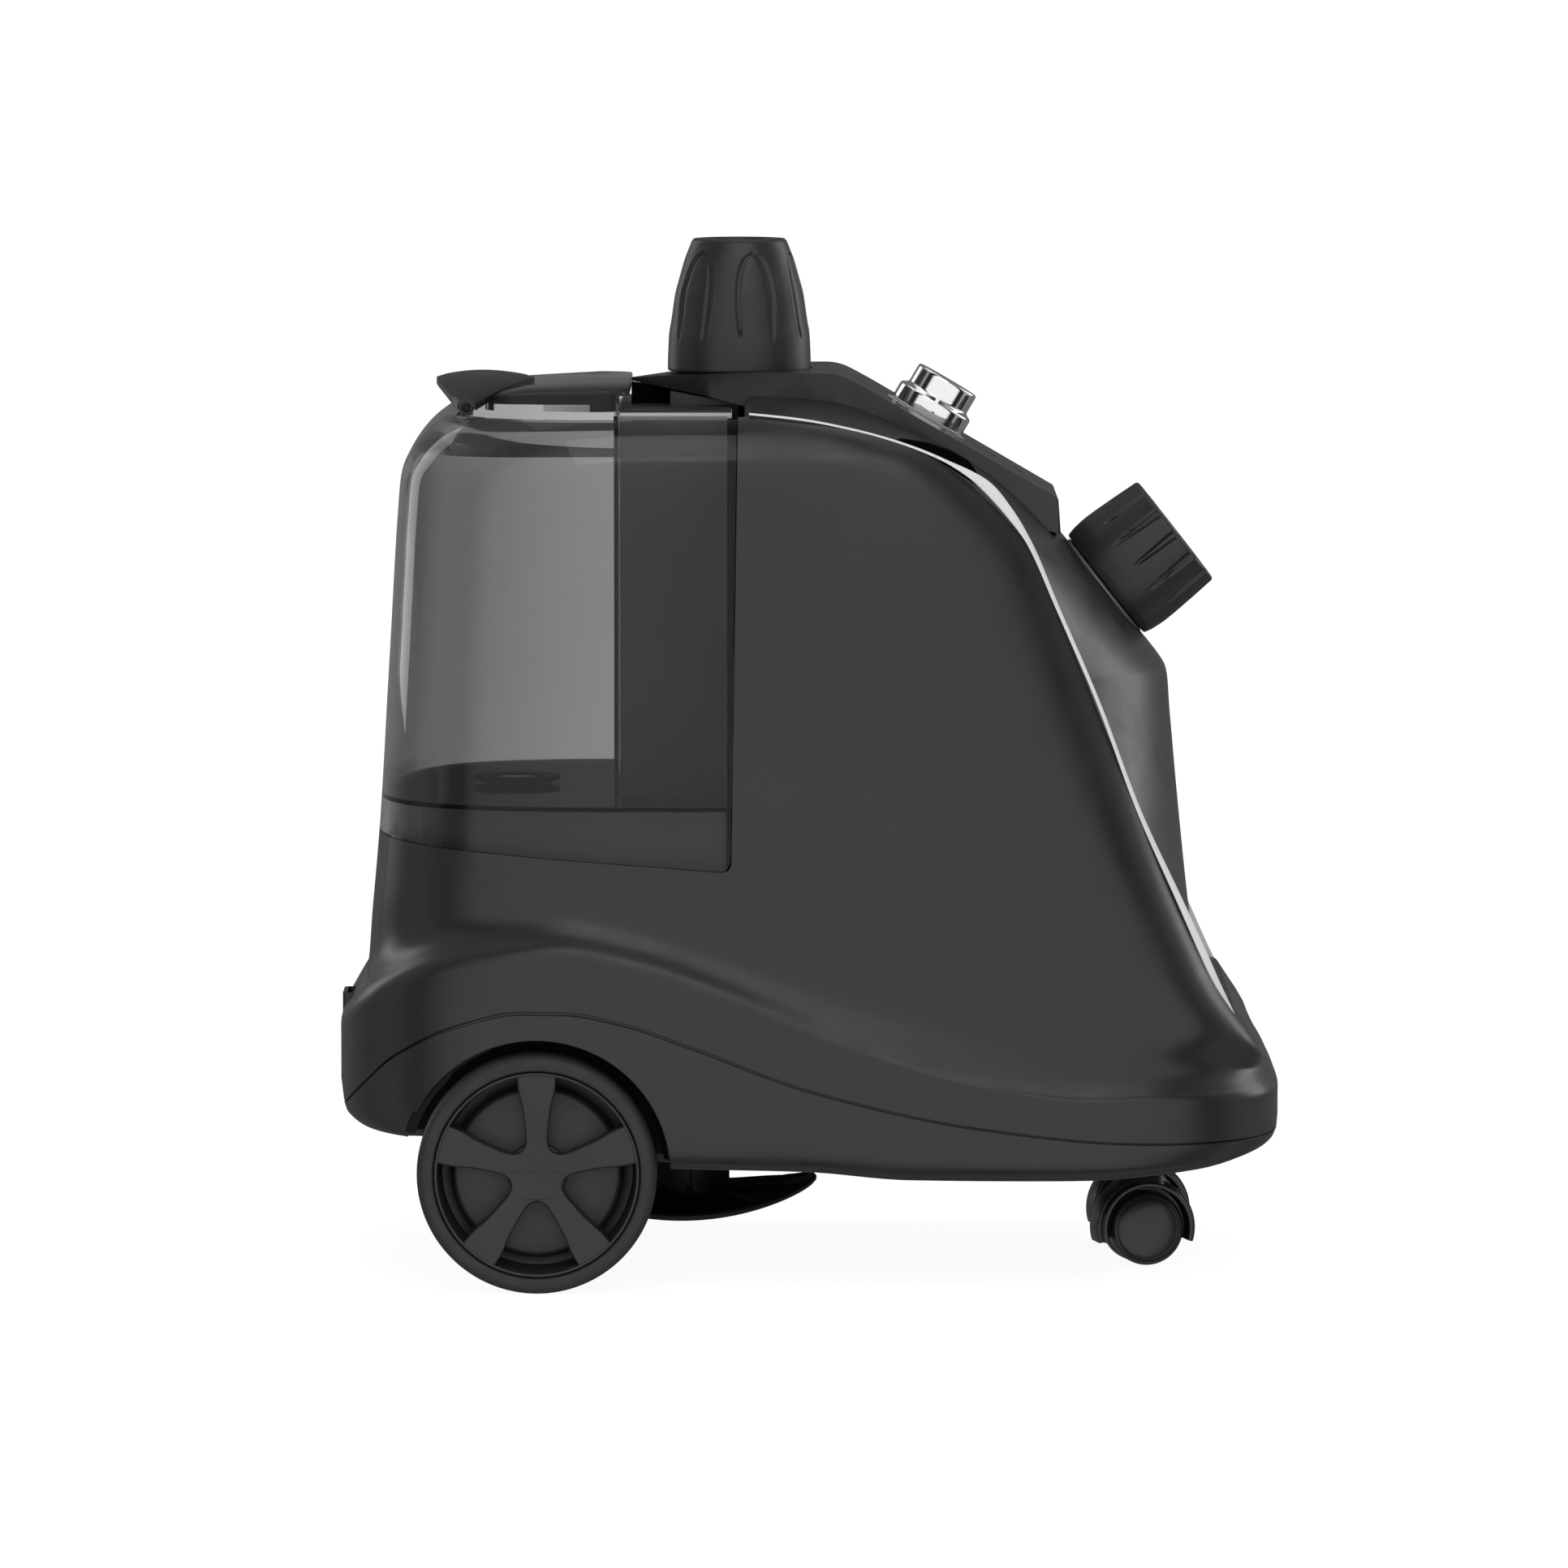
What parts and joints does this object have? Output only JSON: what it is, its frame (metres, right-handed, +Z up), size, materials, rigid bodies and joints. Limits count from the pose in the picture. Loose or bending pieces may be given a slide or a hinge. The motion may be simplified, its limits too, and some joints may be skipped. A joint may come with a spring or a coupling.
{
  "type": "garment steamer base unit",
  "caption": "Wheeled upright steam cleaner base with tinted lift-off water tank, pole collar, chrome dial and angled hose coupling.",
  "frame": {"origin": "floor level below the middle of the unit's length and width", "axes": "+X towards the front nose with the hose outlet, +Y towards the left wheel, +Z up"},
  "size_m": [0.3532, 0.27, 0.386],
  "materials": {
    "casing": "satin",
    "deck": "satin",
    "trim": "polished",
    "rear_panel": "satin",
    "inner_plastic": "matte",
    "tank_clear": "clear tinted",
    "tank_lid": "gloss",
    "handle": "satin",
    "steel": "brushed",
    "boiler": "cast",
    "seal": "matte",
    "element": "dull",
    "ceramic_part": "matte",
    "hose_silicone": "translucent",
    "pump": "gloss",
    "board": "satin",
    "dial": "polished",
    "bezel": "satin",
    "lens": "gloss",
    "nut": "satin",
    "wheel": "satin",
    "tyre": "matte",
    "caster": "satin",
    "filter": "mesh"
  },
  "bodies": {
    "chassis": {"base_pan": "casing", "body_shell": "casing", "front_housing": "casing", "top_deck": "deck", "trim_strip_left": "trim", "trim_strip_right": "trim", "rear_panel": "rear_panel", "cord_hook": "inner_plastic", "cord_gland": "inner_plastic", "tank_seat": "inner_plastic", "rear_column": "inner_plastic", "bulkhead": "inner_plastic", "wheel_wells": "inner_plastic", "wheel_axle": "steel", "axle_bushes": "inner_plastic", "foot_pad": "inner_plastic", "cord_winder": "inner_plastic", "caster_sockets": "inner_plastic", "boiler_pan": "boiler", "boiler_gasket": "seal", "boiler_lid": "boiler", "heating_element": "element", "thermostat": "ceramic_part", "steam_pipe": "steel", "hose_port": "inner_plastic", "hose_gasket": "seal", "water_pump": "pump", "feed_hose": "hose_silicone", "drain_plug": "inner_plastic", "pole_socket": "inner_plastic", "control_board": "board", "dial_switch": "inner_plastic", "dial_bezel": "bezel", "lamp_lenses": "lens", "case_screws": "steel"},
    "wheel_left": {"wheel_left": "wheel", "tyre_left": "tyre"},
    "wheel_right": {"wheel_right": "wheel", "tyre_right": "tyre"},
    "caster_left": {"caster_hood_left": "caster"},
    "caster_left_wheels": {"caster_wheels_left": "caster"},
    "caster_right": {"caster_hood_right": "caster"},
    "caster_right_wheels": {"caster_wheels_right": "caster"},
    "collar": {"collar_nut": "nut"},
    "dial": {"dial_knob": "dial", "dial_shaft": "steel"},
    "hose_coupling": {"hose_nut": "nut"},
    "tank": {"tank_shell": "tank_clear", "tank_lid": "tank_lid", "valve_cap": "inner_plastic", "valve_seal": "seal", "water_filter": "filter", "handle_pins": "steel"},
    "handle": {"tank_handle": "handle"}
  },
  "joints": [
    {"name": "wheel_left_spin", "type": "hinge", "parent": "chassis", "child": "wheel_left", "pos_m": [-0.101, 0.12, 0.0445], "axis": [0, 1, 0], "continuous": true},
    {"name": "wheel_right_spin", "type": "hinge", "parent": "chassis", "child": "wheel_right", "pos_m": [-0.101, -0.12, 0.0445], "axis": [0, 1, 0], "continuous": true},
    {"name": "caster_left_swivel", "type": "hinge", "parent": "chassis", "child": "caster_left", "pos_m": [0.126, 0.031, 0.05], "axis": [0, 0, 1], "continuous": true},
    {"name": "caster_left_roll", "type": "hinge", "parent": "caster_left", "child": "caster_left_wheels", "pos_m": [0.126, 0.031, 0.0139], "axis": [-0.2079, 0.9781, 0], "continuous": true},
    {"name": "caster_right_swivel", "type": "hinge", "parent": "chassis", "child": "caster_right", "pos_m": [0.126, -0.031, 0.05], "axis": [0, 0, 1], "continuous": true},
    {"name": "caster_right_roll", "type": "hinge", "parent": "caster_right", "child": "caster_right_wheels", "pos_m": [0.126, -0.031, 0.0139], "axis": [-0.2079, 0.9781, 0], "continuous": true},
    {"name": "collar_turn", "type": "hinge", "parent": "chassis", "child": "collar", "pos_m": [-0.0263, 0, 0.35], "axis": [0, 0, 1], "range_deg": [0, 180]},
    {"name": "dial_turn", "type": "hinge", "parent": "chassis", "child": "dial", "pos_m": [0.0454, 0, 0.3201], "axis": [0.5075, 0, 0.8616], "range_deg": [-270, 0]},
    {"name": "hose_nut_turn", "type": "hinge", "parent": "chassis", "child": "hose_coupling", "pos_m": [0.1124, 0, 0.2549], "axis": [0.788, 0, 0.6157], "range_deg": [0, 180]},
    {"name": "tank_lift", "type": "slide", "parent": "chassis", "child": "tank", "axis": [0, 0, 1], "range_m": [0, 0.21]},
    {"name": "handle_swing", "type": "hinge", "parent": "tank", "child": "handle", "pos_m": [-0.128, 0, 0.3256], "axis": [0, -1, 0], "range_deg": [0, 42]}
  ]
}
